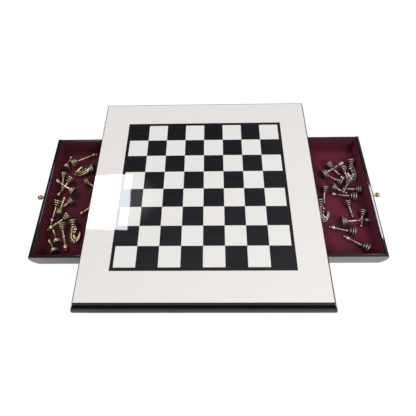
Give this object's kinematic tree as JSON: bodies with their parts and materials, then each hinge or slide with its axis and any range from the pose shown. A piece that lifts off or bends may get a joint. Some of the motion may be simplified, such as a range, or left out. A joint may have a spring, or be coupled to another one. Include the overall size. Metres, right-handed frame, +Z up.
{
  "type": "chess box with drawers",
  "caption": "Chessboard box with an inlaid playing top on a convex moulded casing and two opposed velvet-lined drawers that hold the men.",
  "frame": {"origin": "centre of the underside of the box, on the felt", "axes": "+X towards the right drawer, +Y away from the player, +Z up"},
  "size_m": [0.6376, 0.418, 0.0529],
  "materials": {
    "black_lacquer": "black high-gloss lacquer",
    "cream_gloss": "cream veneer under high-gloss lacquer",
    "ebony_gloss": "near-black veneer under high-gloss lacquer",
    "plain_wood": "plain planed wood",
    "velvet": "burgundy velvet",
    "felt": "black felt",
    "polished_brass": "polished brass",
    "screw_steel": "zinc-plated steel",
    "aged_brass": "cast brass with dark patina in the grooves",
    "dark_bronze": "dark antiqued cast metal with rubbed edges"
  },
  "bodies": {
    "box": {"top_core": "black_lacquer", "top_lipping": "black_lacquer", "cream_border": "cream_gloss", "field_line": "ebony_gloss", "light_squares": "cream_gloss", "dark_squares": "ebony_gloss", "front_wall": "black_lacquer", "back_wall": "black_lacquer", "left_rail": "black_lacquer", "right_rail": "black_lacquer", "left_front_stile": "black_lacquer", "left_back_stile": "black_lacquer", "right_front_stile": "black_lacquer", "right_back_stile": "black_lacquer", "base_panel": "black_lacquer", "front_guide": "plain_wood", "back_guide": "plain_wood", "centre_divider": "plain_wood", "base_screws": "screw_steel", "base_felt": "felt"},
    "left_drawer": {"left_drawer_front": "black_lacquer", "left_drawer_near_side": "black_lacquer", "left_drawer_far_side": "black_lacquer", "left_drawer_back": "black_lacquer", "left_drawer_bottom": "plain_wood", "left_floor_lining": "velvet", "left_wall_lining": "velvet", "left_knob": "polished_brass", "left_knob_screw": "screw_steel", "left_king": "aged_brass", "left_queen": "aged_brass", "left_bishops": "aged_brass", "left_knights": "aged_brass", "left_rooks": "aged_brass", "left_pawns": "aged_brass", "left_pads": "felt"},
    "right_drawer": {"right_drawer_front": "black_lacquer", "right_drawer_near_side": "black_lacquer", "right_drawer_far_side": "black_lacquer", "right_drawer_back": "black_lacquer", "right_drawer_bottom": "plain_wood", "right_floor_lining": "velvet", "right_wall_lining": "velvet", "right_knob": "polished_brass", "right_knob_screw": "screw_steel", "right_king": "dark_bronze", "right_queen": "dark_bronze", "right_bishops": "dark_bronze", "right_knights": "dark_bronze", "right_rooks": "dark_bronze", "right_pawns": "dark_bronze", "right_pads": "felt"}
  },
  "joints": [
    {"name": "left_drawer_slide", "type": "slide", "parent": "box", "child": "left_drawer", "axis": [-1, 0, 0], "range_m": [-0.088, 0.062]},
    {"name": "right_drawer_slide", "type": "slide", "parent": "box", "child": "right_drawer", "axis": [1, 0, 0], "range_m": [-0.099, 0.051]}
  ]
}
